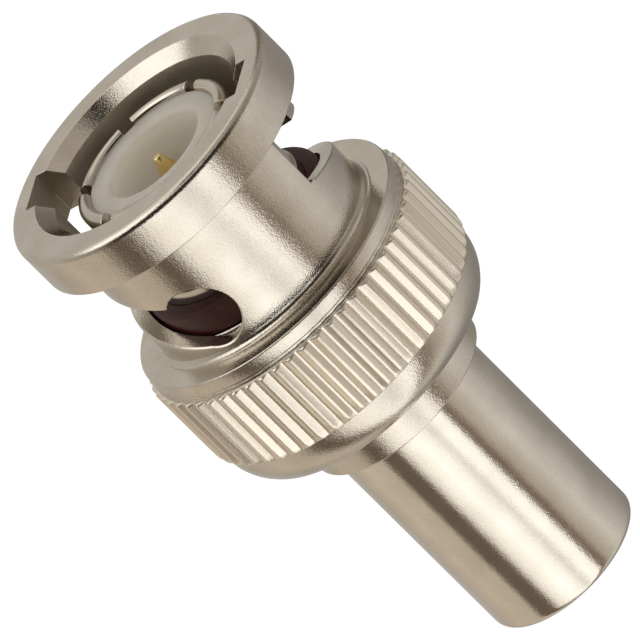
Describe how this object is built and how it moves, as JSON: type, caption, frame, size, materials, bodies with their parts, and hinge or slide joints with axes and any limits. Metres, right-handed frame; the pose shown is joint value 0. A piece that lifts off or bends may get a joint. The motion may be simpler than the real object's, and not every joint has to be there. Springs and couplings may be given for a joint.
{
  "type": "bnc terminator",
  "caption": "Coaxial bayonet plug that ends a line: a knurled coupling nut turns and slides on a body whose closed rear barrel holds the load resistor.",
  "frame": {"origin": "centre of the closed rear end, on which the part stands", "axes": "+Z along the common axis towards the mating face; one bayonet entry on +X and one on -X"},
  "size_m": [0.0144, 0.0144, 0.0283],
  "materials": {
    "nickel_plate": "satin nickel plate on turned brass",
    "contact_plate": "bright nickel plate on spring bronze",
    "gold_plate": "gold plate on turned brass",
    "ptfe": "waxy turned fluoropolymer",
    "silicone": "red-brown moulded silicone",
    "spring_steel": "blanked spring steel",
    "tinned_wire": "tinned copper and steel",
    "resistor_enamel": "baked enamel on a ceramic rod",
    "solder": "bright soft solder"
  },
  "bodies": {
    "plug": {"plug_body": "nickel_plate", "rear_barrel": "nickel_plate", "outer_contact": "contact_plate", "gasket": "silicone", "front_insulator": "ptfe", "centre_contact": "gold_plate", "rear_insulator": "ptfe", "thrust_washer_front": "spring_steel", "wave_washer_front": "spring_steel", "resistor_body": "resistor_enamel", "resistor_cap_front": "tinned_wire", "resistor_cap_rear": "tinned_wire", "resistor_lead_front": "tinned_wire", "resistor_lead_rear": "tinned_wire", "solder_front": "solder", "ground_disc": "nickel_plate", "solder_rear": "solder"},
    "spacer": {"spacer_washer": "spring_steel", "wave_washer_rear": "spring_steel"},
    "carrier": {"thrust_washer_rear": "spring_steel"},
    "nut": {"coupling_nut": "nickel_plate"}
  },
  "joints": [
    {"name": "nut_slide", "type": "slide", "parent": "plug", "child": "carrier", "axis": [0, 0, 1], "range_m": [0, 0.0008], "stiffness_N_per_m": 5000, "springref_m": -0.0004, "deforming": ["wave_washer_front", "wave_washer_rear"]},
    {"name": "spacer_slide", "type": "slide", "parent": "plug", "child": "spacer", "axis": [0, 0, 1], "range_m": [0, 0.0004]},
    {"name": "nut_spin", "type": "hinge", "parent": "carrier", "child": "nut", "pos_m": [0, 0, 0.019], "axis": [0, 0, 1], "continuous": true}
  ],
  "couplings": [
    {"joint": "spacer_slide", "follows": "nut_slide", "ratio": 0.5}
  ]
}
